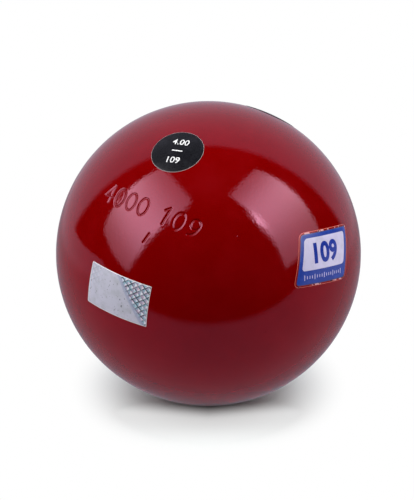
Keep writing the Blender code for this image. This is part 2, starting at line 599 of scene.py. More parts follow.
@dataclass(frozen=True)
class SecurityFoil:
    """Silvery foil, mostly plain, with a field of small diamonds past a slanting line; the diamonds carry
    painted highlight, painted shade and painted glints.

    Lengths along the sheet are in millimetres, leans in degrees, and noises and the heights of
    bumps in metres.
    """

    width: float
    height: float
    corner: float
    name: str = "silver_foil"
    metallic: float = 0.35
    ior: float = 1.5
    roughness: Pair = (0.34, 0.48)
    plain: Colour = (0.60, 0.60, 0.70)
    cloudy: Colour = (0.50, 0.51, 0.58)
    cloud: Noise = Noise(320.0, 4.0, 0.6)
    cloud_range: Pair = (0.40, 0.70)
    cloud_height: float = 0.000006
    speck: Noise = Noise(1100.0, 2.0)
    speck_range: Pair = (0.66, 0.72)
    speck_strength: float = 0.7
    field_start: float = 4.6
    field_lean: float = 38.0
    field_softness: float = 0.2
    band_width: float = 0.9
    band_strength: float = 0.75
    faint_across: Pair = (-13.0, -5.0)
    faint_up: Pair = (-2.0, 4.0)
    faint_strength: float = 0.25
    cell: float = 2.3
    cell_lean: float = 32.0
    cell_height: float = 0.000012
    half_range: Pair = (0.85, 1.15)
    # The bright and the shaded colour paint highlight and shade on the two halves of each cell; the
    # shaded colour also prints the dark band along the slanting line.
    bright: Colour = (0.92, 0.92, 0.98)
    painted_shade_and_band: Colour = (0.38, 0.42, 0.58)
    line: Colour = (0.035, 0.045, 0.075)
    line_range: Pair = (0.34, 0.44)
    line_wear: Noise = Noise(650.0, 2.0)
    line_wear_range: Pair = (0.36, 0.56)
    worn_line: float = 0.35
    # Cyan and rose are painted glints, scattered by this noise.
    painted_glint_noise: Noise = Noise(900.0, 2.0)
    cyan: Colour = (0.25, 0.52, 0.62)
    cyan_range: Pair = (0.50, 0.62)
    cyan_strength: float = 0.75
    rose: Colour = (0.62, 0.40, 0.55)
    rose_range: Pair = (0.50, 0.38)
    rose_strength: float = 0.6
    edge: Colour = (0.88, 0.86, 0.88)
    edge_range: Pair = (0.12, 0.30)

    def net(self, recipe: Recipe, x: Socket, y: Socket) -> tuple[Socket, Socket]:
        """The net of leaning cells.

        Args:
            recipe: The foil's recipe.
            x: The place along the foil.
            y: The place up the foil.

        Returns:
            Where its lines are, and which half of a cell a point lies in.
        """
        lean = math.radians(self.cell_lean)
        shares = []
        for side in (1, -1):
            along = recipe.math("MULTIPLY", x, math.cos(lean) / self.cell)
            across = recipe.math("MULTIPLY", y, side * math.sin(lean) / self.cell * 2)
            shares.append(recipe.math("FRACT", recipe.math("ADD", along, across)))
        near = [recipe.math("ABSOLUTE", recipe.math("SUBTRACT", share, 0.5)) for share in shares]
        lines = recipe.ramp(recipe.math("MAXIMUM", *near), *self.line_range)
        wear = recipe.ramp(recipe.noise(self.line_wear), *self.line_wear_range, self.worn_line, 1.0)
        half = recipe.ramp(recipe.math("ADD", *shares), *self.half_range)
        return recipe.math("MULTIPLY", lines, wear), half

    def facets(self, recipe: Recipe, half: Socket) -> Socket:
        """The colours of the cells: a painted highlight on one half and painted shade on the other, with
        cyan and rose painted glints.

        Args:
            recipe: The foil's recipe.
            half: Which half of a cell a point lies in.

        Returns:
            The colour.
        """
        # Painted highlight and shade on the cells' halves, with painted cyan and rose glints.
        painted_glint_noise = recipe.noise(self.painted_glint_noise)
        facet = recipe.mix(half, self.painted_shade_and_band, self.bright)
        cyan = recipe.ramp(painted_glint_noise, *self.cyan_range, 0.0, self.cyan_strength)
        rose = recipe.ramp(painted_glint_noise, *self.rose_range, 0.0, self.rose_strength)
        return recipe.mix(rose, recipe.mix(cyan, facet, self.cyan), self.rose)

    def material(self) -> bpy.types.Material:
        """Prints the foil.

        Returns:
            Its material.
        """
        recipe = Recipe(self.name)
        recipe.surface(Metallic=self.metallic, IOR=self.ior)
        x, y = recipe.flat()
        lean = math.radians(self.field_lean)
        sides = (recipe.math("MULTIPLY", x, math.cos(lean)), recipe.math("MULTIPLY", y, math.sin(lean)))
        beyond = recipe.math("SUBTRACT", recipe.math("ADD", *sides), self.field_start)
        zone = recipe.ramp(beyond, -self.field_softness, self.field_softness)
        off_line = recipe.math("ABSOLUTE", beyond)
        band = recipe.ramp(off_line, self.band_width / 2, self.band_width, self.band_strength, 0.0)
        faint = recipe.ramp(x, *self.faint_across, self.faint_strength, 0.0)
        faint = recipe.math("MULTIPLY", faint, recipe.ramp(y, *self.faint_up))
        lines, half = self.net(recipe, x, y)
        cloud = recipe.noise(self.cloud)
        ground = recipe.mix(recipe.ramp(cloud, *self.cloud_range), self.plain, self.cloudy)
        specks = recipe.ramp(recipe.noise(self.speck), *self.speck_range, 0.0, self.speck_strength)
        ground = recipe.mix(specks, ground, self.line)
        netted = recipe.mix(lines, self.facets(recipe, half), self.line)
        shown = recipe.mix(recipe.math("MAXIMUM", zone, faint), ground, netted)
        shown = recipe.mix(band, shown, self.painted_shade_and_band)
        depth = recipe.inside_box(self.width, self.height, self.corner)
        recipe.colour(recipe.ramp(depth, *self.edge_range, 1.0, 0.0), shown, self.edge)
        recipe.roughness(cloud, self.roughness)
        recipe.bump((cloud, self.cloud_height), (recipe.math("MULTIPLY", lines, zone), self.cell_height))
        return recipe.material


@dataclass(frozen=True)
class ClearBorder:
    """The free border of a clear film over the enamel: a painted highlight along its cut edge, and near
    its ends painted dark reflections and pale painted glints.

    Lengths along the sheet are in millimetres, noises and the heights of bumps in metres.
    """

    name: str
    width: float
    height: float
    corner: float
    slant: float
    ior: float = 1.6
    sheen_tint: Colour = (1.0, 0.55, 0.70)
    roughness: Pair = (0.05, 0.16)
    through: Colour = (0.20, 0.0, 0.002)
    # The cut edge's bright orange-red is a painted highlight, where the film's edge would catch the
    # light.
    cut: Colour = (0.62, 0.13, 0.09)
    lit_edge_range: Pair = (0.10, 0.24)
    end_inset: Pair = (1.4, 0.9)
    blotch: Noise = Noise(420.0, 2.0, 0.6)
    blotch_height: float = 0.000012
    glint: Colour = (0.72, 0.42, 0.46)
    glint_range: Pair = (0.54, 0.60)
    glint_strength: float = 0.8
    # The dark specks are painted dark reflections, like the pale glints.
    dark_glint_noise: Noise = Noise(700.0, 1.0)
    speck: Colour = (0.012, 0.006, 0.008)
    speck_range: Pair = (0.60, 0.64)

    def material(self) -> bpy.types.Material:
        """Mixes the border.

        Returns:
            Its material.
        """
        recipe = Recipe(self.name)
        recipe.surface(IOR=self.ior, Specular_Tint=(*self.sheen_tint, 1.0))
        depth = recipe.inside_box(self.width, self.height, self.corner, self.slant)
        _, y = recipe.flat()
        inner, outer = (self.height / 2 - inset for inset in self.end_inset)
        ends = recipe.ramp(recipe.math("ABSOLUTE", y), inner, outer)
        blotch = recipe.noise(self.blotch)
        glints = recipe.ramp(blotch, *self.glint_range, 0.0, self.glint_strength)
        specks = recipe.ramp(recipe.noise(self.dark_glint_noise), *self.speck_range)
        # Pale painted glints and dark painted reflections, near the top and the bottom only.
        shown = recipe.mix(recipe.math("MULTIPLY", glints, ends), self.through, self.glint)
        shown = recipe.mix(recipe.math("MULTIPLY", specks, ends), shown, self.speck)
        # A painted highlight runs along the cut edge.
        recipe.colour(recipe.ramp(depth, *self.lit_edge_range, 1.0, 0.0), shown, self.cut)
        recipe.roughness(blotch, self.roughness)
        recipe.bump((blotch, self.blotch_height))
        return recipe.material


class Face(Enum):
    """The finishes of an iron or steel piece, numbered as its material slots are."""

    ENAMEL = 0
    MACHINED = 1
    AS_CAST = 2


@dataclass(frozen=True)
class Mouth:
    """The stepped mouth that the core was taken out through, its thread and its painted edge."""

    radius: float = 0.013
    shoulder_depth: float = 0.008
    bore_radius: float = 0.010
    lead_in: float = 0.0008
    paint_round: float = 0.00028
    round_steps: int = 6
    wall_step: float = 0.001
    thread_pitch: float = 0.0015
    thread_depth: float = 0.00075
    thread_foot: float = 0.0363
    thread_top: float = 0.0452
    thread_fade: float = 0.0007
    rings_to_pitch: int = 10

    @property
    def thread_step(self) -> float:
        """How far apart the rings of a threaded stretch lie."""
        return self.thread_pitch / self.rings_to_pitch

    @property
    def round_turns(self) -> np.ndarray:
        """The turns of the paint's rounding, from none to a quarter."""
        return np.linspace(0, math.pi / 2, self.round_steps + 1)

    def threaded(
        self, rings: np.ndarray, angles: np.ndarray, radius: float, foot: float, top: float
    ) -> tuple[np.ndarray, np.ndarray]:
        """Spreads rings over the angles and gives those of one radius the thread.

        Args:
            rings: Rings (radius, height), one to a row.
            angles: Angles about the axis.
            radius: The radius of the rings that are threaded.
            foot: Where the thread starts.
            top: Where the thread ends.

        Returns:
            The radii and the heights, with a row for each ring and a column for each angle.
        """
        radii = np.repeat(rings[:, :1], len(angles), axis=1)
        heights = np.repeat(rings[:, 1:], len(angles), axis=1)
        wave = 0.5 + 0.5 * np.cos(math.tau * heights / self.thread_pitch - angles)
        inside = np.minimum(heights - foot, top - heights) / self.thread_fade
        cut = self.thread_depth * (wave * np.clip(inside, 0.0, 1.0))
        chosen = np.isclose(rings[:, 0], radius)
        radii[chosen] -= cut[chosen]
        return radii, heights


def revolve(
    name: str, radii: np.ndarray, heights: np.ndarray, angles: np.ndarray, kinds: Sequence[Face]
) -> bpy.types.Mesh:
    """A closed solid turned about the ball's level axis, from rings that start and end on it.

    Args:
        name: The mesh's name.
        radii: Each ring's radius at each angle; the first and the last ring have none.
        heights: Each ring's height along the axis at each angle.
        angles: The angles about the axis.
        kinds: The finish of each band between two rings.

    Returns:
        The mesh, about the ball's centre, its faces looking outwards.
    """
    rings, count = radii.shape
    inner = slice(1, rings - 1)
    points = np.stack(
        (radii[inner] * np.cos(angles), heights[inner], radii[inner] * np.sin(angles)), axis=-1
    ).reshape(-1, 3)
    first = len(points)
    poles = np.array([(0.0, heights[0, 0], 0.0), (0.0, heights[-1, 0], 0.0)])
    points = np.concatenate((points, poles))
    index = np.arange(first).reshape(rings - 2, count)
    after = np.roll(index, -1, axis=1)
    quads = np.stack((index[:-1], index[1:], after[1:], after[:-1]), axis=-1).reshape(-1, 4)
    start = np.stack((np.full(count, first), index[0], after[0]), axis=-1)
    end = np.stack((index[-1], np.full(count, first + 1), after[-1]), axis=-1)
    faces = start.tolist() + quads.tolist() + end.tolist()
    corners = points[np.concatenate((quads[:, :3], quads[:, [0, 2, 3]], start, end))]
    volume = np.einsum("ij,ij->", corners[:, 0], np.cross(corners[:, 1], corners[:, 2])) / 6
    if volume < 0:
        faces = [face[::-1] for face in faces]
    mesh = smooth_mesh(name, (points, faces), TURNED_SHARP_ANGLE)
    mesh.polygons.foreach_set("material_index", np.repeat([kind.value for kind in kinds], count))
    return mesh


def bow(middle: Pair, radii: Pair, start: float, end: float, step: int = 15) -> np.ndarray:
    """A stretch of an upright oval.

    Args:
        middle: The oval's middle.
        radii: Its radii across and up.
        start: The angle of the stretch's start, in degrees.
        end: The angle of its end.
        step: About how many degrees lie between two points.

    Returns:
        Points (x, y), one to a row.
    """
    turns = np.radians(np.linspace(start, end, 2 + abs(int(end - start)) // step))
    return np.column_stack((middle[0] + radii[0] * np.cos(turns), middle[1] + radii[1] * np.sin(turns)))


@dataclass(frozen=True)
class Glyph:
    """One punched numeral: its middle, its tilt and how deep it was struck."""

    numeral: str
    middle: Pair
    tilt: float
    strike: float


@dataclass(frozen=True)
class PunchedNumbers:
    """The mass in grams and the diameter in millimetres, punched by hand before painting.

    The rows of the window are given by the lowest and the highest, as shares of the numerals'
    height, and by their number.
    """

    text: str = "4000 109"
    place: Place = Place(-27.2, 33.2, -12.4)
    height: float = 0.0064
    pitch: float = 0.0053
    space: float = 0.0046
    groove: float = 0.00034
    depth: float = 0.00026
    lip: float = 0.00001
    lip_distance: float = 0.00078
    stray_stroke: tuple[Pair, Pair] = ((0.0043, -0.0082), (0.0033, -0.0118))
    stray_strike: float = 0.8
    hand_seed: int = 7
    hand_shift: float = 0.00028
    hand_tilt: float = math.radians(3.0)
    hand_strike: Pair = (0.72, 1.1)
    window_rows: tuple[float, float, int] = (-1.9, 1.0, 12)
    window_columns: int = 24

    def strokes(self, numeral: str) -> list[np.ndarray]:
        """The strokes of a numeral of height 1 about its middle.

        Args:
            numeral: The numeral.

        Returns:
            The points of each stroke, one to a row.
        """
        shapes = {
            "0": [bow((0.0, 0.0), (0.29, 0.5), 0, 360)],
            "1": [np.array(((-0.17, 0.27), (0.04, 0.5), (0.04, -0.5)))],
            "4": [np.array(((0.30, -0.16), (-0.32, -0.16), (0.13, 0.5), (0.13, -0.5)))],
            "9": [bow((0.0, 0.2), (0.27, 0.3), 0, 360), bow((-0.16, 0.14), (0.43, 0.64), 5, -85)],
        }
        return shapes[numeral]

    def glyphs(self) -> list[Glyph]:
        """Sets the numerals along the line, with the unevenness of hand work.

        Returns:
            The numerals.
        """
        hand = np.random.default_rng(self.hand_seed)
        advance = []
        place = 0.0
        for character in self.text:
            if character == " ":
                place += self.space
                continue
            advance.append((character, place))
            place += self.pitch
        middle = (advance[0][1] + advance[-1][1]) / 2
        glyphs = []
        for character, along in advance:
            shift = hand.normal(0.0, self.hand_shift, 2)
            tilt = hand.normal(0.0, self.hand_tilt)
            strike = hand.uniform(*self.hand_strike)
            glyphs.append(Glyph(character, (along - middle + shift[0], shift[1]), tilt, strike))
        return glyphs

    def relief(self, flat: np.ndarray) -> np.ndarray:
        """How far the surface stands off the ball at flat points.

        Args:
            flat: Points (x, y) on the line's own flat sheet.

        Returns:
            Heights, below 0 in a groove.
        """
        heights = self.struck(flat, [np.array(self.stray_stroke)], self.stray_strike)
        for glyph in self.glyphs():
            cosine, sine = math.cos(glyph.tilt), math.sin(glyph.tilt)
            local = (flat - glyph.middle) @ np.array(((cosine, -sine), (sine, cosine)))
            near = np.hypot(local[:, 0], local[:, 1]) < self.height
            strokes = [stroke * self.height for stroke in self.strokes(glyph.numeral)]
            heights[near] += self.struck(local[near], strokes, glyph.strike)
        return heights

    def struck(self, points: np.ndarray, strokes: Sequence[np.ndarray], strike: float) -> np.ndarray:
        """The relief that one punch leaves.

        Args:
            points: The points (x, y) that are asked for.
            strokes: The points of each of the punch's strokes.
            strike: How deep it was struck, 1 for the usual depth.

        Returns:
            Heights, below 0 in a groove and a little above 0 beside it.
        """
        distance = np.full(len(points), np.inf)
        for stroke in strokes:
            for start, end in zip(stroke, stroke[1:]):
                run = end - start
                share = np.clip((points - start) @ run / (run @ run), 0.0, 1.0)
                foot = start + share[:, None] * run
                distance = np.minimum(distance, np.hypot(*(points - foot).T))
        groove = np.exp(-((distance / self.groove) ** 2))
        lip = np.exp(-(((distance - self.lip_distance) / self.groove) ** 2))
        return strike * (self.lip * lip - self.depth * groove)

    def window(self, ball_radius: float) -> tuple[np.ndarray, np.ndarray]:
        """The window of the ball that the line and its stray stroke cover.

        Args:
            ball_radius: The ball's radius.

        Returns:
            The least and the most of the polar angle about -Y, and of the angle about the axis.
        """
        half = (self.pitch * len(self.text)) / 2 + self.height / 2
        low, high, count = self.window_rows
        rows = np.linspace(self.height * low, self.height * high, count)
        columns = np.linspace(-half, half, self.window_columns)
        sheet = np.array([(x, y, 0.0) for x in columns for y in rows])
        world = bent(sheet, ball_radius) @ self.place.turn().T / ball_radius
        polar = np.arccos(-world[:, 1])
        around = np.arctan2(world[:, 2], world[:, 0])
        return np.array((polar.min(), polar.max())), np.array((around.min(), around.max()))


@dataclass(frozen=True)
class Casting:
    """The cast iron shell: turned and enamelled outside, cored inside, numbered by punches."""

    ball: Ball
    mouth: Mouth
    numbers: PunchedNumbers
    core_radius: float = 0.035
    core_angle: float = math.radians(4)
    core_land: float = 0.0003
    shoulder_inset: float = 0.001
    fine_step: float = 0.00011
    probe_step: float = 0.000011
    coarse_angle: float = math.radians(2.5)
    finishes: tuple[Finish, ...] = (
        Enamel(),
        BareMetal(
            "turned_iron", (0.33, 0.32, 0.31), (0.22, 0.21, 0.20), 0.42, 1.0, 2400.0, 0.00001, 0.00018
        ),
        BareMetal(
            "cast_iron_skin", (0.085, 0.078, 0.072), (0.12, 0.085, 0.06), 0.78, 0.6, 900.0, 0.00018
        ),
    )

    def inside(self) -> tuple[np.ndarray, list[Face]]:
        """Draws the cavity and the mouth, up to the painted rim.

        Returns:
            Rings (radius, height), and the finish of each band that follows one.
        """
        mouth = self.mouth
        bore, lead_in = mouth.bore_radius, mouth.lead_in
        shoulder = self.ball.radius - mouth.shoulder_depth
        neck = math.asin(bore / self.core_radius)
        turns = np.append(stations(math.pi, neck, self.core_angle), neck)
        cavity = np.column_stack((np.sin(turns), np.cos(turns))) * self.core_radius
        bore_heights = stations(cavity[-1, 1] + self.core_land, shoulder - lead_in, mouth.thread_step)
        rim = math.sqrt(self.ball.radius**2 - (mouth.radius + mouth.paint_round) ** 2)
        wall_top = rim - mouth.paint_round
        steps = [(bore, height) for height in bore_heights]
        steps += [(bore, shoulder - lead_in), (bore + lead_in, shoulder)]
        steps += [(mouth.radius - self.shoulder_inset, shoulder)]
        steps += [(mouth.radius, height) for height in stations(shoulder, wall_top, mouth.wall_step)]
        steps += [(mouth.radius, wall_top)]
        turns = mouth.round_turns[1:-1, None]
        rounding = mouth.paint_round * (1 - np.hstack((np.cos(turns), np.sin(turns))))
        rings = np.concatenate((cavity, steps, (mouth.radius, rim) + rounding * (1, -1)))
        kinds = [Face.AS_CAST] * len(cavity) + [Face.MACHINED] * (len(steps) - 1)
        return rings, kinds + [Face.ENAMEL] * (len(rounding) + 1)

    def build(self) -> bpy.types.Object:
        """Builds the shell.

        Returns:
            The piece.
        """
        mouth = self.mouth
        radius = self.ball.radius
        polar, around = self.numbers.window(radius)
        fine = self.fine_step / radius
        rim = math.pi - math.asin((mouth.radius + mouth.paint_round) / radius)
        polars = np.concatenate(
            (
                stations(rim, polar[1], self.coarse_angle),
                stations(polar[1], polar[0], fine),
                stations(polar[0], 0.0, self.coarse_angle),
                [0.0],
            )
        )
        angles = np.concatenate(
            (
                stations(around[0], around[1], fine / math.sin(polar.mean())),
                stations(around[1], around[0] + math.tau, self.coarse_angle),
            )
        )
        rings, kinds = self.inside()
        threaded = (mouth.bore_radius, mouth.thread_foot, mouth.thread_top)
        radii, heights = mouth.threaded(rings, angles, *threaded)
        directions, stand, normals = self.skin(polars, angles)
        outside = directions * stand[..., None]
        radii = np.concatenate((radii, np.hypot(outside[..., 0], outside[..., 2])))
        heights = np.concatenate((heights, outside[..., 1]))
        radii[[0, -1]] = 0.0
        kinds = kinds + [Face.ENAMEL] * (len(polars) - 1)
        mesh = revolve("shell", radii, heights, angles, kinds)
        self.set_normals(mesh, normals[:-1].reshape(-1, 3))
        mesh.transform(Matrix.Translation(self.ball.centre))
        return add_piece("shell_dressed", mesh, self.finishes, "shell")

    def skin(self, polars: np.ndarray, angles: np.ndarray) -> tuple[np.ndarray, np.ndarray, np.ndarray]:
        """The outer surface: directions, distances from the centre, and normals.

        Args:
            polars: Angles from -Y, one to a ring.
            angles: Angles about the axis.

        Returns:
            Three arrays with a row for each ring and a column for each angle.
        """
        sine, cosine = np.sin(polars)[:, None], np.cos(polars)[:, None]
        level = np.repeat(-cosine, len(angles), axis=1)
        directions = np.stack((sine * np.cos(angles), level, sine * np.sin(angles)), axis=-1)
        rows = directions.reshape(-1, 3)
        stand = np.full(len(rows), self.ball.radius)
        normals = rows.copy()
        turn = self.numbers.place.turn()
        flat = flattened(rows, turn, self.ball.radius)
        reach = self.numbers.pitch * len(self.numbers.text)
        near = np.flatnonzero(np.hypot(flat[:, 0], flat[:, 1]) < reach)
        probes = np.array(((0.0, 0.0), (self.probe_step, 0.0), (0.0, self.probe_step)))
        middle, along, up = (self.punched(flat[near] + probe) for probe in probes)
        normal = np.cross(along - middle, up - middle)
        normal /= np.linalg.norm(normal, axis=1)[:, None]
        stand[near] = np.linalg.norm(middle, axis=1)
        normals[near] = normal @ turn.T
        return directions, stand.reshape(directions.shape[:2]), normals.reshape(directions.shape)

    def punched(self, flat: np.ndarray) -> np.ndarray:
        """The punched surface over points (x, y) of the numbers' flat sheet, about +Z."""
        return bent(np.column_stack((flat, self.numbers.relief(flat))), self.ball.radius)

    def set_normals(self, mesh: bpy.types.Mesh, normals: np.ndarray) -> None:
        """Gives the outer surface its exact normals, so that reflections in it run true.

        Args:
            mesh: The shell's mesh, whose last two vertices are its poles.
            normals: The outer surface's normals, ring by ring.
        """
        count = len(mesh.vertices)
        last = count - 1
        outer = slice(last - 1 - len(normals), last - 1)
        vertex_normals = np.zeros((count, 3))
        vertex_normals[outer] = normals
        vertex_normals[last] = (0.0, -1.0, 0.0)
        known = np.zeros(count, bool)
        known[outer] = True
        known[last] = True
        corners = whole_numbers(mesh.loops, "vertex_index")
        sides = whole_numbers(mesh.polygons, "loop_total")
        starts = whole_numbers(mesh.polygons, "loop_start")
        whole = np.add.reduceat(known[corners].astype(int), starts) == sides
        loop_normals = np.where(np.repeat(whole, sides)[:, None], vertex_normals[corners], 0.0)
        mesh.normals_split_custom_set(loop_normals.tolist())


@dataclass(frozen=True)
class Closure:
    """The plug: a flanged head turned with the ball and painted over, and a threaded shank."""

    ball: Ball
    mouth: Mouth
    fit: float = 0.00006
    thread_gap: float = 0.0003
    thread_land: float = 0.0001
    length: float = 0.0185
    relief_depth: float = 0.0008
    relief_width: float = 0.0015
    relief_taper: float = 0.0006
    chamfer: float = 0.001
    dome_angle: float = math.radians(1.1)
    segments: int = 160
    finishes: tuple[Finish, ...] = (
        Enamel(name="plug_enamel", colour=(0.167, 0.0, 0.001)),
        BareMetal(
            "turned_steel", (0.50, 0.49, 0.47), (0.38, 0.37, 0.35), 0.34, 1.0, 2600.0, 0.000006, 0.00016
        ),
    )

    def rings(self) -> tuple[np.ndarray, list[Face]]:
        """Draws the plug from the middle of its head to the middle of its end.

        Returns:
            Rings (radius, height), and the finish of each band between two.
        """
        mouth = self.mouth
        head = mouth.radius - self.fit
        underside = self.ball.radius - mouth.shoulder_depth + self.fit
        end = self.ball.radius - self.length
        shank = mouth.bore_radius - self.thread_gap
        relief_end = underside - self.relief_width
        thread_top = relief_end - self.relief_taper
        edge = math.asin((head - mouth.paint_round) / self.ball.radius)
        turns = np.append(stations(0.0, edge, self.dome_angle), edge)
        dome = np.column_stack((np.sin(turns), np.cos(turns))) * self.ball.radius
        rim = dome[-1, 1]
        turns = mouth.round_turns[1:, None]
        rounding = (head, rim) - mouth.paint_round * (1 - np.hstack((np.sin(turns), np.cos(turns))))
        wall = [(head, height) for height in stations(rim - mouth.wall_step, underside, mouth.wall_step)]
        neck = [
            (head, underside),
            (shank - self.relief_depth, underside),
            (shank - self.relief_depth, relief_end),
            (shank, thread_top),
        ]
        heights = stations(thread_top - self.thread_land, end + self.chamfer, mouth.thread_step)
        foot = [(shank, height) for height in heights]
        foot += [(shank, end + self.chamfer), (shank - self.chamfer, end)]
        rings = np.concatenate((dome, rounding, wall, neck, foot, [(0.0, end)]))
        painted = len(dome) + len(rounding) - 1
        return rings, [Face.ENAMEL] * painted + [Face.MACHINED] * (len(rings) - 1 - painted)

    def build(self) -> bpy.types.Object:
        """Builds the plug.

        Returns:
            The piece.
        """
        mouth = self.mouth
        rings, kinds = self.rings()
        angles = stations(0.0, math.tau, math.tau / self.segments)
        shank = mouth.bore_radius - self.thread_gap
        foot = self.ball.radius - self.length + self.chamfer
        top = mouth.thread_top - self.relief_width / 2
        mesh = revolve("closing_plug", *mouth.threaded(rings, angles, shank, foot, top), angles, kinds)
        mesh.transform(Matrix.Translation(self.ball.centre))
        return add_piece("closing_plug_dressed", mesh, self.finishes, "closing_plug")


@dataclass(frozen=True)
class Sheet:
    """A thin closed sheet with an outline about its own middle, bent over the ball.

    The edge is given by its insets and its rises, as shares of the thickness.
    """

    outline: Outline
    foot: float
    thickness: float
    middle: Pair = (0.0, 0.0)
    facet: float = 0.0006
    edge: tuple[Pair, ...] = ((0.0, 0.6), (0.2, 0.88), (0.6, 1.0))

    def shape(self) -> Shape:
        """The sheet before bending.

        Returns:
            Points (x, y, height) and faces.
        """
        outline = np.array(self.outline)
        reach = np.hypot(*outline.T).max()
        rings = max(2, round(reach / self.facet))
        top = self.foot + self.thickness
        profile = [(share, self.foot) for share in np.linspace(0, 1, max(2, rings // 4) + 1)[1:]]
        for inset, rise in self.edge:
            profile.append((1.0 - inset * self.thickness / reach, self.foot + self.thickness * rise))
        profile += [(share, top) for share in np.linspace(1, 0, rings + 1)[1:-1]]
        flat = np.concatenate([outline * share for share, _ in profile] + [np.zeros((2, 2))])
        heights = [np.full(len(outline), height) for _, height in profile] + [[self.foot, top]]
        count = len(outline)
        sides = [(side, (side + 1) % count) for side in range(count)]
        last = (len(profile) - 1) * count
        faces: Faces = []
        for low in range(0, last, count):
            high = low + count
            faces += [(low + side, low + after, high + after, high + side) for side, after in sides]
        for side, after in sides:
            faces.append((len(flat) - 2, after, side))
            faces.append((last + side, last + after, len(flat) - 1))
        return np.column_stack((flat + np.array(self.middle), np.concatenate(heights))), faces


def circle(diameter: float, points: int = 120) -> Outline:
    """Points of a circle about the origin."""
    turns = np.linspace(0, math.tau, points, endpoint=False)
    return [(diameter / 2 * math.cos(turn), diameter / 2 * math.sin(turn)) for turn in turns]


def rectangle(
    width: float, height: float, corner: float, step: float = 0.0006, corner_points: int = 9
) -> Outline:
    """Points of a rectangle with round corners about the origin.

    Args:
        width: Its width.
        height: Its height.
        corner: The radius of its corners.
        step: The most that two points lie apart on a straight side.
        corner_points: The number of points on a corner.

    Returns:
        The points, against the clock.
    """
    corners: Outline = []
    for quarter, (side_x, side_y) in enumerate(((1, 1), (-1, 1), (-1, -1), (1, -1))):
        middle_x, middle_y = side_x * (width / 2 - corner), side_y * (height / 2 - corner)
        for turn in np.linspace(quarter, quarter + 1, corner_points) * math.pi / 2:
            corners.append((middle_x + corner * math.cos(turn), middle_y + corner * math.sin(turn)))
    outline: Outline = []
    for (x, y), (next_x, next_y) in zip(corners, corners[1:] + corners[:1]):
        pieces = max(1, math.ceil(math.hypot(next_x - x, next_y - y) / step))
        for share in (piece / pieces for piece in range(pieces)):
            outline.append((x + (next_x - x) * share, y + (next_y - y) * share))
    return outline


def slanted(outline: Outline, height: float, slant: float) -> Outline:
    """An outline whose top is pushed along by the slant, against its bottom."""
    return [(x + slant * y / height, y) for x, y in outline]


@dataclass(frozen=True)
class Numerals:
    """Plain numerals cut from film: their height, and how far their strokes are swollen."""

    height: float
    weight: float
    cut: float = 0.0007
    resolution: int = 6
    merge: float = 0.0001

    def shape(self, text: str, foot: float, thickness: float, middle: Pair) -> Shape:
        """Flat numerals, ready to be laid.

        Args:
            text: The numerals.
            foot: The height of their underside off the ball.
            thickness: Their thickness.
            middle: Where their middle lies on the sheet.

        Returns:
            Points (x, y, height) and faces.
        """
        curve = bpy.data.curves.new("numerals", "FONT")
        curve.body = text
        curve.align_x = "CENTER"
        curve.offset = self.weight
        curve.extrude = 0.5
        curve.resolution_u = self.resolution
        writing = put("numerals", curve)
        depsgraph = bpy.context.evaluated_depsgraph_get()
        mesh = bpy.data.meshes.new_from_object(writing.evaluated_get(depsgraph))
        bpy.data.objects.remove(writing)
        points, faces = self.cut_up(mesh)
        bpy.data.meshes.remove(mesh)
        low, high = points.min(0), points.max(0)
        scale = self.height / (high[1] - low[1])
        flat = (points[:, :2] - (low[:2] + high[:2]) / 2) * scale + np.array(middle)
        return np.column_stack((flat, foot + (points[:, 2] + 0.5) * thickness)), faces

    def cut_up(self, mesh: bpy.types.Mesh) -> tuple[np.ndarray, Faces]:
        """Cuts numerals of height 1 into pieces that are small enough to be bent.

        Args:
            mesh: The numerals.

        Returns:
            Points (x, y, z), and faces.
        """
        shape = bmesh.new()
        shape.from_mesh(mesh)
        bmesh.ops.remove_doubles(shape, verts=shape.verts, dist=self.merge)
        cut = self.cut / self.height
        for axis in (Vector((1.0, 0.0, 0.0)), Vector((0.0, 1.0, 0.0))):
            sides = [vertex.co.dot(axis) for vertex in shape.verts]
            for station in stations(min(sides) + cut, max(sides), cut):
                parts = [*shape.verts, *shape.edges, *shape.faces]
                bmesh.ops.bisect_plane(shape, geom=parts, plane_co=axis * station, plane_no=axis)
        bmesh.ops.recalc_face_normals(shape, faces=shape.faces)
        points = np.array([vertex.co for vertex in shape.verts])
        faces = [tuple(vertex.index for vertex in face.verts) for face in shape.faces]
        shape.free()
        return points, faces


@dataclass(frozen=True)
class Label:
    """A label on the ball: its place, and the call that lays films and printing there."""

    ball: Ball
    place: Place

    def lay(
        self, name: str, shapes: Sequence[Shape], slot: str, finish: Finish, replaces: str | None = None
    ) -> bpy.types.Object:
        """Bends flat shapes over the ball and adds them as one piece.

        Args:
            name: The piece's name.
            shapes: Points (x, y, height) and faces of each shape.
            slot: The record's material slot; not used.
            finish: The piece's finish.
            replaces: The node that it stands for, if any.

        Returns:
            The piece.
        """
        points, faces = joined(shapes)
        laid = bent(points, self.ball.radius) @ self.place.turn().T + np.array(self.ball.centre)
        mesh = smooth_mesh(name, (laid, faces), SHEET_SHARP_ANGLE)
        corners = whole_numbers(mesh.loops, "vertex_index")
        sheet = mesh.uv_layers.new(name="flat")
        sheet.uv.foreach_set("vector", (points[corners, :2] / MILLIMETRE).ravel())
        return add_piece(name, mesh, [finish], replaces)


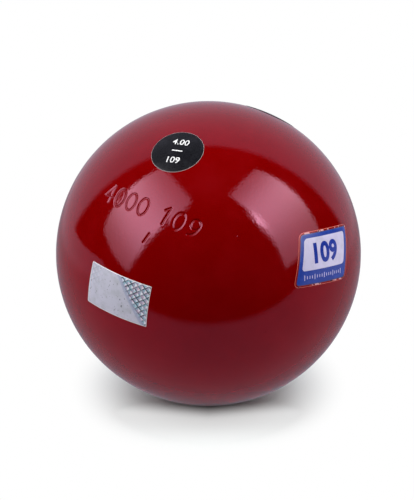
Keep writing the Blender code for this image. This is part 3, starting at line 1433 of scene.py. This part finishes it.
@dataclass(frozen=True)
class RoundLabels:
    """The two round labels near the top: black film, one with plain numerals, one bare.

    The dash between the numerals is given by its width, its height and its corners' radius.
    """

    ball: Ball
    front: Place = Place(-22.6, 58.4)
    back: Place = Place(128.5, 58.7)
    diameter: float = 0.019
    thickness: float = 0.0001
    rim: float = 0.00012
    layer: float = 0.000012
    layer_rise: float = 0.000006
    mass: str = "4.00"
    size: str = "109"
    numerals: Numerals = Numerals(0.0026, 0.006)
    row_height: float = 0.0042
    dash: Triple = (0.0040, 0.00045, 0.0002)
    black: Film = Film("black_label_film", (0.006, 0.006, 0.008), (0.014, 0.014, 0.018), 0.3, 0.22)
    dark: Film = Film("dark_label_film", (0.008, 0.008, 0.010), (0.018, 0.018, 0.022), 0.3, 0.22)
    paper: Film = Film("label_edge", (0.34, 0.30, 0.30), (0.28, 0.25, 0.25), 0.4)
    ink: Film = Film("white_ink", (0.80, 0.80, 0.80), (0.66, 0.66, 0.68), 0.45)

    def disc(self, name: str, place: Place, film: Film, edge: Film) -> Label:
        """Lays a disc of film with its cut edge.

        Args:
            name: The node that it stands for.
            place: Its place.
            film: The finish of its printed face, named as its slot in the record is.
            edge: The finish of its edge.

        Returns:
            The label, for its printing.
        """
        label = Label(self.ball, place)
        stock = Sheet(circle(self.diameter), -SHEET_SINK, self.thickness)
        label.lay(f"{name}_stock", [stock.shape()], film.name, edge, name)
        disc = Sheet(circle(self.diameter - 2 * self.rim), self.thickness - self.layer, self.layer)
        label.lay(f"{name}_film", [disc.shape()], film.name, film)
        return label

    def build(self) -> None:
        """Builds both labels."""
        label = self.disc("round_label", self.front, self.black, self.paper)
        foot = self.thickness - self.layer + self.layer_rise
        rows = [
            self.numerals.shape(self.mass, foot, self.layer, (0.0, self.row_height)),
            Sheet(rectangle(*self.dash), foot, self.layer).shape(),
            self.numerals.shape(self.size, foot, self.layer, (0.0, -self.row_height)),
        ]
        label.lay("round_label_printing", rows, self.black.name, self.ink)
        self.disc("top_label", self.back, self.dark, self.dark)


@dataclass(frozen=True)
class FoilLabel:
    """The silvery foil label on the left."""

    ball: Ball
    place: Place = Place(-36.4, -1.3, -10.3)
    width: float = 0.0263
    height: float = 0.0158
    corner: float = 0.0003
    thickness: float = 0.00008

    def build(self) -> None:
        """Builds the label."""
        sizes = (self.width, self.height, self.corner)
        sheet = Sheet(rectangle(*sizes), -SHEET_SINK, self.thickness)
        foil = SecurityFoil(*(size / MILLIMETRE for size in sizes))
        label = Label(self.ball, self.place)
        label.lay("foil_label_sheet", [sheet.shape()], foil.name, foil, "foil_label")


@dataclass(frozen=True)
class FilmLabel:
    """The printed label on the right, under a clear film with a free border.

    The panel's insets are from the sides, the top and the bottom of the printed field.
    """

    ball: Ball
    slot: str = "blue_label_film"
    place: Place = Place(50.4, 10.7, -5.8)
    width: float = 0.0273
    height: float = 0.0193
    corner: float = 0.0022
    slant: float = 0.004
    border: float = 0.0009
    thickness: float = 0.00011
    layer: float = 0.000012
    first_overlap: float = 0.000008
    overlap: float = 0.000004
    panel_inset: Triple = (0.0015, 0.0014, 0.0048)
    # The line layer, this much wider than the blue field all round, is a dark line of painted shade along
    # the field's edge.
    shade_line_width: float = 0.00022
    ticks: int = 17
    tick_pitch: float = 0.0012
    tick_width: float = 0.0003
    tick_corner: float = 0.0001
    short_tick: float = 0.0011
    long_tick: float = 0.0019
    long_tick_every: int = 4
    size: str = "109"
    numerals: Numerals = Numerals(0.0076, 0.04)
    painted_edge_shade: Film = Film("painted_edge_shade", (0.045, 0.05, 0.11), (0.06, 0.065, 0.14), 0.18)
    blue_print: Film = Film("blue_print", (0.018, 0.044, 0.28), (0.03, 0.065, 0.34), 0.16)
    pale_print: Film = Film("pale_print", (0.55, 0.52, 0.71), (0.47, 0.45, 0.60), 0.18)
    blue_ink: Film = Film("blue_ink", (0.010, 0.028, 0.26), (0.02, 0.045, 0.32), 0.18)

    def outline(self, border: float, inset: Triple = (0.0, 0.0, 0.0)) -> Outline:
        """The label's outline, drawn in.

        Args:
            border: How far it is drawn in all round.
            inset: How much further, from the sides, the top and the bottom.

        Returns:
            The outline.
        """
        side, top, bottom = inset
        width, height = self.width - 2 * (border + side), self.height - 2 * border - top - bottom
        raised = [(x, y + (bottom - top) / 2) for x, y in rectangle(width, height, self.corner - border)]
        return slanted(raised, self.height, self.slant)

    def sheet(self, foot: float, border: float, inset: Triple = (0.0, 0.0, 0.0)) -> Shape:
        """A layer of printing in the label's own outline, drawn in."""
        return Sheet(self.outline(border, inset), foot, self.layer).shape()

    def scale(self, foot: float) -> list[Shape]:
        """Draws the ticks along the bottom of the field.

        Args:
            foot: The height of their underside off the ball.

        Returns:
            The ticks.
        """
        up = self.border + self.panel_inset[2] / 2 - self.height / 2
        ticks = []
        for tick in range(self.ticks):
            length = self.short_tick if tick % self.long_tick_every else self.long_tick
            along = (tick - (self.ticks - 1) / 2) * self.tick_pitch + self.slant * up / self.height
            outline = rectangle(self.tick_width, length, self.tick_corner)
            ticks.append(Sheet(outline, foot, self.layer, (along, up)).shape())
        return ticks

    def middle(self) -> Pair:
        """The middle of the pale panel."""
        raised = (self.panel_inset[2] - self.panel_inset[1]) / 2
        return self.slant * raised / self.height, raised

    def build(self) -> None:
        """Builds the label, layer by layer."""
        label = Label(self.ball, self.place)
        sizes = (self.width, self.height, self.corner, self.slant)
        clear = ClearBorder("clear_film", *(size / MILLIMETRE for size in sizes))
        film = Sheet(self.outline(0.0), -SHEET_SINK, self.thickness)
        label.lay("film_label_film", [film.shape()], self.slot, clear, "film_label")
        rise = self.layer - self.overlap
        feet = [self.thickness - self.first_overlap + rise * layer for layer in range(4)]
        panel = self.sheet(feet[2], self.border, self.panel_inset)
        size = self.numerals.shape(self.size, feet[3], self.layer, self.middle())
        layers = (
            # A dark line of painted shade just outside the blue field's edge.
            ("outline", self.painted_edge_shade, [self.sheet(feet[0], self.border - self.shade_line_width)]),
            ("field", self.blue_print, [self.sheet(feet[1], self.border)]),
            ("panel", self.pale_print, [panel, *self.scale(feet[2])]),
            ("numerals", self.blue_ink, [size]),
        )
        for name, finish, shapes in layers:
            label.lay(f"film_label_{name}", shapes, self.slot, finish)


@dataclass(frozen=True)
class PaintNibs:
    """Three specks of dust under the last coat: low, round domes of enamel."""

    ball: Ball
    places: tuple[Place, ...] = (Place(11.5, 23.9), Place(22.1, -13.7, 20.0), Place(33.9, -0.8, 70.0))
    radii: tuple[float, ...] = (0.00042, 0.00030, 0.00027)
    stretch: Pair = (1.3, 1.0)
    height: float = 0.00012
    sink: float = 0.00001
    sides: int = 20
    steps: int = 5
    enamel: Enamel = Enamel(name="nib_enamel", colour=(0.20, 0.002, 0.004))

    def build(self) -> bpy.types.Object:
        """Builds the nibs as one piece.

        Returns:
            The piece.
        """
        nibs: list[Shape] = []
        for place, radius in zip(self.places, self.radii):
            sheet = Sheet(circle(2 * radius, self.sides), 0.0, 1.0, facet=radius / self.steps)
            points, faces = sheet.shape()
            share = np.clip(np.hypot(points[:, 0], points[:, 1]) / radius, 0.0, 1.0)
            dome = np.where(points[:, 2] > 0, self.height * (1 - share**2), 0.0) - self.sink
            points = np.column_stack((points[:, :2] * self.stretch, dome))
            nibs.append((bent(points, self.ball.radius) @ place.turn().T, faces))
        points, faces = joined(nibs)
        mesh = smooth_mesh("paint_nibs", (points + np.array(self.ball.centre), faces))
        return add_piece("paint_nibs", mesh, [self.enamel])


@dataclass(frozen=True)
class InnerPieces:
    """What the plug closes in: the set filling and the lead slug, both as the frame gives them."""

    filling: SetFilling = SetFilling()
    lead: BareMetal = BareMetal(
        "dull_lead", (0.19, 0.20, 0.215), (0.30, 0.30, 0.30), 0.55, 0.9, 700.0, 0.00006
    )

    def build(self) -> None:
        """Dresses both nodes."""
        for name, finish in (("core_filling", self.filling), ("trim_weight", self.lead)):
            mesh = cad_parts[name].data
            mesh.materials.clear()
            mesh.materials.append(finish.material())
            LOG.info("%s: dressed", name)


@dataclass(frozen=True)
class Studio:
    """The room: a white surround behind and above the ball, a dark room behind the camera."""

    white: float = 0.5
    tint: Colour = (0.96, 0.95, 1.16)
    dark: float = 0.005
    edge_height: float = 0.29
    edge_spread: float = 0.30
    edge_power: float = 1.5
    edge_softness: float = 0.04

    def build(self) -> None:
        """Sets the world's shader."""
        world = bpy.data.worlds.new("studio")
        bpy.context.scene.world = world
        world.use_nodes = True
        nodes = NodeTree(world.node_tree)
        nodes.tree.nodes.clear()
        _, back, up = nodes.split(nodes.add("ShaderNodeTexCoord").outputs["Generated"])
        below_top = nodes.math("MAXIMUM", nodes.math("SUBTRACT", 1.0, up), 0.0)
        spread = nodes.math("MULTIPLY", nodes.math("POWER", below_top, self.edge_power), self.edge_spread)
        beyond = nodes.math("SUBTRACT", back, nodes.math("ADD", spread, self.edge_height))
        surround = nodes.ramp(beyond, -self.edge_softness, self.edge_softness, self.dark, self.white)
        seen = nodes.add("ShaderNodeLightPath").outputs["Is Camera Ray"]
        background = nodes.add("ShaderNodeBackground")
        nodes.link(nodes.mix(seen, self.tint, WHITE), background.inputs["Color"])
        nodes.link(nodes.math("MAXIMUM", seen, surround), background.inputs["Strength"])
        output = nodes.add("ShaderNodeOutputWorld")
        nodes.link(background.outputs["Background"], output.inputs["Surface"])


@dataclass(frozen=True)
class Softbox:
    """A rectangular soft light, given by its middle, the directions of its two sides and its size."""

    name: str
    middle: Triple
    across: Triple
    down: Triple
    width: float
    height: float
    radiance: float
    hot_line: float = 0.46
    hot_spread: float = 0.27
    dim_share: float = 0.38
    edge_fade: float = 0.07
    corner_cut: float = 0.0
    corner_softness: float = 0.02
    mirrored: bool = True

    def glow(self, data: bpy.types.AreaLight) -> None:
        """Makes the light brightest along a line across it, as its tubes do behind the cloth.

        Args:
            data: The light.
        """
        data.use_nodes = True
        nodes = NodeTree(data.node_tree)
        sides = nodes.split(nodes.add("ShaderNodeNewGeometry").outputs["Parametric"])[:2]
        off = nodes.math("DIVIDE", nodes.math("SUBTRACT", sides[1], 1 - self.hot_line), self.hot_spread)
        bell = nodes.math("EXPONENT", nodes.math("MULTIPLY", nodes.math("MULTIPLY", off, off), -1.0))
        peak = (1 - self.dim_share) / (self.hot_spread * math.sqrt(math.pi))
        strength = nodes.math("MULTIPLY_ADD", bell, peak, self.dim_share)
        nears = [nodes.math("MINIMUM", side, nodes.math("SUBTRACT", 1.0, side)) for side in sides]
        fades = [(near, 0.0, self.edge_fade) for near in nears]
        if self.corner_cut:
            limits = (self.corner_cut - self.corner_softness, self.corner_cut + self.corner_softness)
            fades.append((nodes.math("ADD", *nears), *limits))
        for fade in fades:
            strength = nodes.math("MULTIPLY", strength, nodes.ramp(*fade))
        nodes.link(strength, nodes.tree.nodes["Emission"].inputs["Strength"])

    def build(self, ball: Ball) -> bpy.types.Object:
        """Adds the light.

        Args:
            ball: The ball that it looks towards.

        Returns:
            The light's object.
        """
        data = bpy.data.lights.new(self.name, "AREA")
        data.shape = "RECTANGLE"
        data.size = self.width
        data.size_y = self.height
        data.energy = self.radiance * math.pi * self.width * self.height
        self.glow(data)
        middle = Vector(self.middle)
        across = Vector(self.across).normalized()
        down = Vector(self.down)
        down = (down - across * down.dot(across)).normalized()
        if across.cross(down).dot(ball.centre - middle) < 0:
            across = -across
        turn = Matrix((across, -down, -across.cross(down))).transposed()
        light = put(self.name, data)
        light.matrix_world = Matrix.Translation(middle) @ turn.to_4x4()
        light.visible_camera = False
        light.visible_glossy = self.mirrored
        return light


@dataclass(frozen=True)
class Floor:
    """A pale table top whose front edge lies a little in front of the ball.

    The camera sees it run out to plain white around the ball's shadow in an oval, and in front of the
    ball a pool of painted light lifts the shadow.
    Glossy pieces mirror it dim near the ball and brighter far away.
    """

    front: float = -0.127
    back: float = 1.6
    side: float = 1.6
    edge_fade: float = 0.022
    albedo: float = 0.82
    exposure: float = 0.97
    # A painted tint: in what the camera sees, it cancels the red light that the ball bounces into its
    # shadow.
    shade_tint: Colour = (0.93, 1.0, 0.985)
    plain_range: Pair = (0.024, 0.051)
    plain_middle: float = 0.014
    plain_stretch: float = 0.62
    # These four place a pool of painted light on the floor in front of the ball, lifting its shadow
    # there.
    painted_light_range: Pair = (0.0085, 0.0255)
    painted_light_level: float = 0.57
    painted_light_sides: Pair = (0.030, 0.060)
    painted_light_curve: float = 0.25
    mirrored_tint: Colour = (0.96, 0.90, 1.08)
    near_range: Pair = (0.008, 0.030)
    far_range: Pair = (0.20, 0.34)
    mirrored_levels: Pair = (0.32, 0.52)

    def build(self) -> bpy.types.Object:
        """Adds the floor.

        Returns:
            The floor's object.
        """
        mesh = bpy.data.meshes.new("floor")
        corners = [
            (-self.side, self.front, 0.0),
            (self.side, self.front, 0.0),
            (self.side, self.back, 0.0),
            (-self.side, self.back, 0.0),
        ]
        mesh.from_pydata(corners, [], [(0, 1, 2, 3)])
        mesh.materials.append(self.material())
        floor = put("floor", mesh)
        return floor

    def plain_share(self, recipe: Recipe, x: Socket, y: Socket, away: Socket) -> Socket:
        """How much of the floor that the camera sees is plain white: an oval around the ball's shadow,
        and in front of the ball a pool of painted light that lifts the shadow.

        Args:
            recipe: The floor's recipe.
            x: The place to the right of the ball.
            y: The place behind the ball.
            away: The distance from the middle of the plain white's oval.

        Returns:
            The share.
        """
        around = recipe.ramp(away, *self.plain_range)
        # In front of the ball, painted light lifts the shadow, fading out to the sides.
        sideways = recipe.math("ABSOLUTE", x)
        ahead = recipe.math("SUBTRACT", recipe.math("MULTIPLY", sideways, self.painted_light_curve), y)
        ahead = recipe.ramp(ahead, *self.painted_light_range, 0.0, self.painted_light_level)
        aside = recipe.ramp(sideways, *self.painted_light_sides, 1.0, 0.0)
        return recipe.math("MAXIMUM", around, recipe.math("MULTIPLY", ahead, aside))

    def material(self) -> bpy.types.Material:
        """Mixes the board, which keeps the ball's shadow.

        Returns:
            Its material.
        """
        recipe = Recipe("floor_board")
        recipe.tree.nodes.remove(recipe.shader)
        path = recipe.add("ShaderNodeLightPath").outputs
        camera = path["Is Camera Ray"]
        x, y, _ = recipe.split(recipe.place())
        shift = -self.plain_middle * self.plain_stretch
        along = recipe.math("MULTIPLY_ADD", y, self.plain_stretch, shift)
        squares = [recipe.math("POWER", side, 2.0) for side in (x, along)]
        away = recipe.math("SQRT", recipe.math("ADD", *squares))
        board = (self.albedo,) * 3
        bright = tuple(self.albedo * self.exposure * share for share in self.shade_tint)
        diffuse = recipe.add("ShaderNodeBsdfDiffuse")
        recipe.link(recipe.mix(camera, board, bright), diffuse.inputs["Color"])
        lip = recipe.ramp(y, self.front, self.front + self.edge_fade)
        glow = recipe.math("MULTIPLY", recipe.ramp(away, *self.far_range, *self.mirrored_levels), lip)
        white = recipe.add("ShaderNodeEmission")
        recipe.link(recipe.mix(camera, self.mirrored_tint, WHITE), white.inputs["Color"])
        recipe.link(recipe.math("MAXIMUM", glow, camera), white.inputs["Strength"])
        seen = recipe.math("MULTIPLY", self.plain_share(recipe, x, y, away), camera)
        mirrored = recipe.math("MAXIMUM", path["Is Glossy Ray"], path["Is Transmission Ray"])
        mirrored = recipe.math("MULTIPLY", recipe.ramp(away, *self.near_range), mirrored)
        joined = recipe.add("ShaderNodeMixShader")
        recipe.link(recipe.math("MAXIMUM", seen, mirrored), joined.inputs["Fac"])
        recipe.link(diffuse.outputs["BSDF"], joined.inputs[1])
        recipe.link(white.outputs["Emission"], joined.inputs[2])
        recipe.link(joined.outputs["Shader"], recipe.output.inputs["Surface"])
        return recipe.material


@dataclass(frozen=True)
class Camera:
    """A long lens, level with the picture's sides, a little above the ball.

    The ball's radius and its offset from the picture's middle are in pixels.
    """

    ball: Ball
    elevation: float = 18.0
    lens: float = 0.400
    film: float = 0.036
    ball_pixels: float = 152.5
    ball_offset: Pair = (1.45, 3.45)
    picture_height: int = 500

    def build(self) -> bpy.types.Object:
        """Adds the camera and makes it the scene's own.

        Returns:
            The camera's object.
        """
        focal = self.lens / self.film * self.picture_height
        distance = self.ball.radius * math.hypot(1.0, focal / self.ball_pixels)
        angle = math.radians(self.elevation)
        towards = Vector((0.0, -math.cos(angle), math.sin(angle)))
        right = Vector((1.0, 0.0, 0.0))
        up = towards.cross(right)
        scale = distance / focal
        aim = self.ball.centre + (up * self.ball_offset[1] - right * self.ball_offset[0]) * scale
        data = bpy.data.cameras.new("camera")
        data.lens = self.lens / MILLIMETRE
        data.sensor_width = self.film / MILLIMETRE
        camera = put("camera", data)
        camera.location = self.ball.centre + towards * distance
        camera.rotation_euler = (aim - camera.location).to_track_quat("-Z", "Y").to_euler()
        bpy.context.scene.camera = camera
        return camera


@dataclass(frozen=True)
class Stage:
    """Everything around the ball: camera, floor, room, and soft lights overhead and on both sides."""

    ball: Ball
    right_sides: tuple[Triple, Triple] = ((0.522, 0.801, 0.293), (0.424, 0.054, -0.904))
    left_sides: tuple[Triple, Triple] = ((-0.533, 0.684, 0.498), (-0.696, -0.020, -0.717))
    overhead_sides: tuple[Triple, Triple] = ((1.0, 0.0, 0.0), (0.0, 0.97, 0.23))

    def lights(self) -> tuple[Softbox, ...]:
        """Sets up the lights.

        Returns:
            The overhead light, the right softbox with its glare, and the left softbox.
        """
        overhead, right, left = self.overhead_sides, self.right_sides, self.left_sides
        return (
            Softbox("overhead_light", (0.0, -0.20, 0.90), *overhead, 0.70, 0.70, 2.7, mirrored=False),
            Softbox("right_softbox", (0.411, -0.132, 0.414), *right, 0.456, 0.686, 3.2),
            Softbox("right_glare", (0.303, -0.300, 0.352), *right, 0.075, 0.30, 4.6, edge_fade=0.5),
            Softbox("left_softbox", (-0.443, -0.148, 0.369), *left, 0.518, 0.692, 3.2, corner_cut=0.12),
        )

    def build(self) -> None:
        """Sets the stage, with colours shown as they are written."""
        Camera(self.ball).build()
        Floor().build()
        Studio().build()
        for light in self.lights():
            light.build(self.ball)
        bpy.context.scene.view_settings.view_transform = "Standard"


def main() -> None:
    """Builds the stage and every piece."""
    logging.basicConfig(level=logging.INFO, format="%(message)s")
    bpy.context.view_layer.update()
    ball = Ball.from_frame()
    mouth = Mouth()
    Stage(ball).build()
    Casting(ball, mouth, PunchedNumbers()).build()
    Closure(ball, mouth).build()
    InnerPieces().build()
    RoundLabels(ball).build()
    FoilLabel(ball).build()
    FilmLabel(ball).build()
    PaintNibs(ball).build()


if __name__ == "__main__":
    main()
